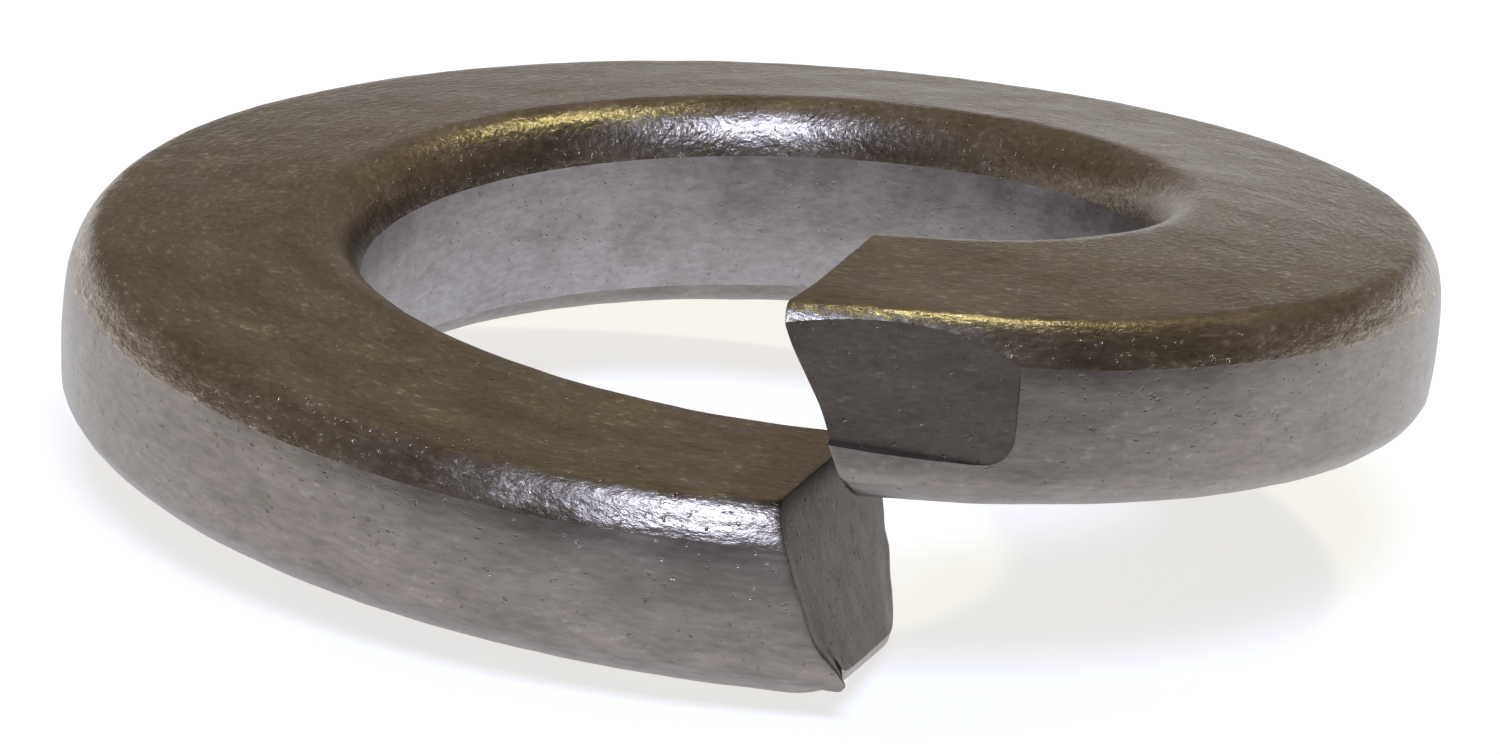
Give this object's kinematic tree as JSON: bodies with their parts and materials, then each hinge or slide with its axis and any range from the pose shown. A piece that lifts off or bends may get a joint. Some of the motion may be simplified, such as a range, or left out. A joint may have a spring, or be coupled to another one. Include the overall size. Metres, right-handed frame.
{
  "type": "spring lock washer",
  "caption": "Helical split ring of keystone section with sheared ends, clamped under a nut or bolt head to keep the joint tight.",
  "frame": {"origin": "on the bore axis, level with the washer's lowest point, which is on the low end", "axes": "+Z along the bore axis, towards the high end; the split is at -Y, with the high end on its +X side"},
  "size_m": [0.0142, 0.0142, 0.0043],
  "materials": {
    "steel": "plain rolled and coiled stainless steel, smooth faces with fine drawing marks, satin walls"
  },
  "bodies": {
    "root": {"washer": "steel"}
  },
  "joints": []
}
